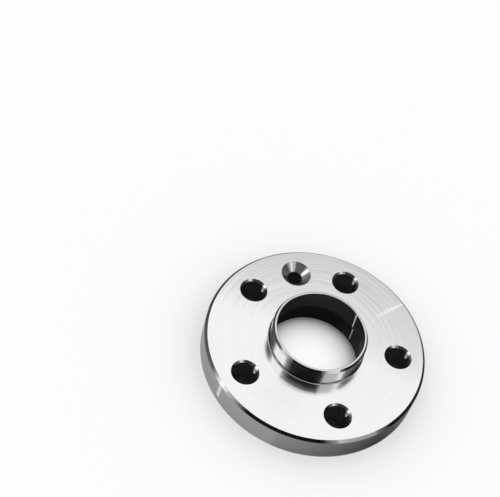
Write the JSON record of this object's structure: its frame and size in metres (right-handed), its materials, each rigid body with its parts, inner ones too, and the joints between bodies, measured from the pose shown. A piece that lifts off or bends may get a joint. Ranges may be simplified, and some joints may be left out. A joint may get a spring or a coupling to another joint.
{
  "type": "wheel spacer",
  "caption": "Round aluminium wheel spacer: a thick turned disc with a raised centring lip, a stepped hub bore, through holes for wheel bolts and a countersunk screw hole.",
  "frame": {"origin": "centre of the hub face, the flat back that the part rests on", "axes": "+Z along the bore axis from the hub face towards the centring lip, +Y through the countersunk screw hole"},
  "size_m": [0.15, 0.15, 0.0343],
  "materials": {
    "turned_aluminium": "bright turned face with fine concentric tool marks, satin side wall"
  },
  "bodies": {
    "root": {"spacer": "turned_aluminium"}
  },
  "joints": []
}
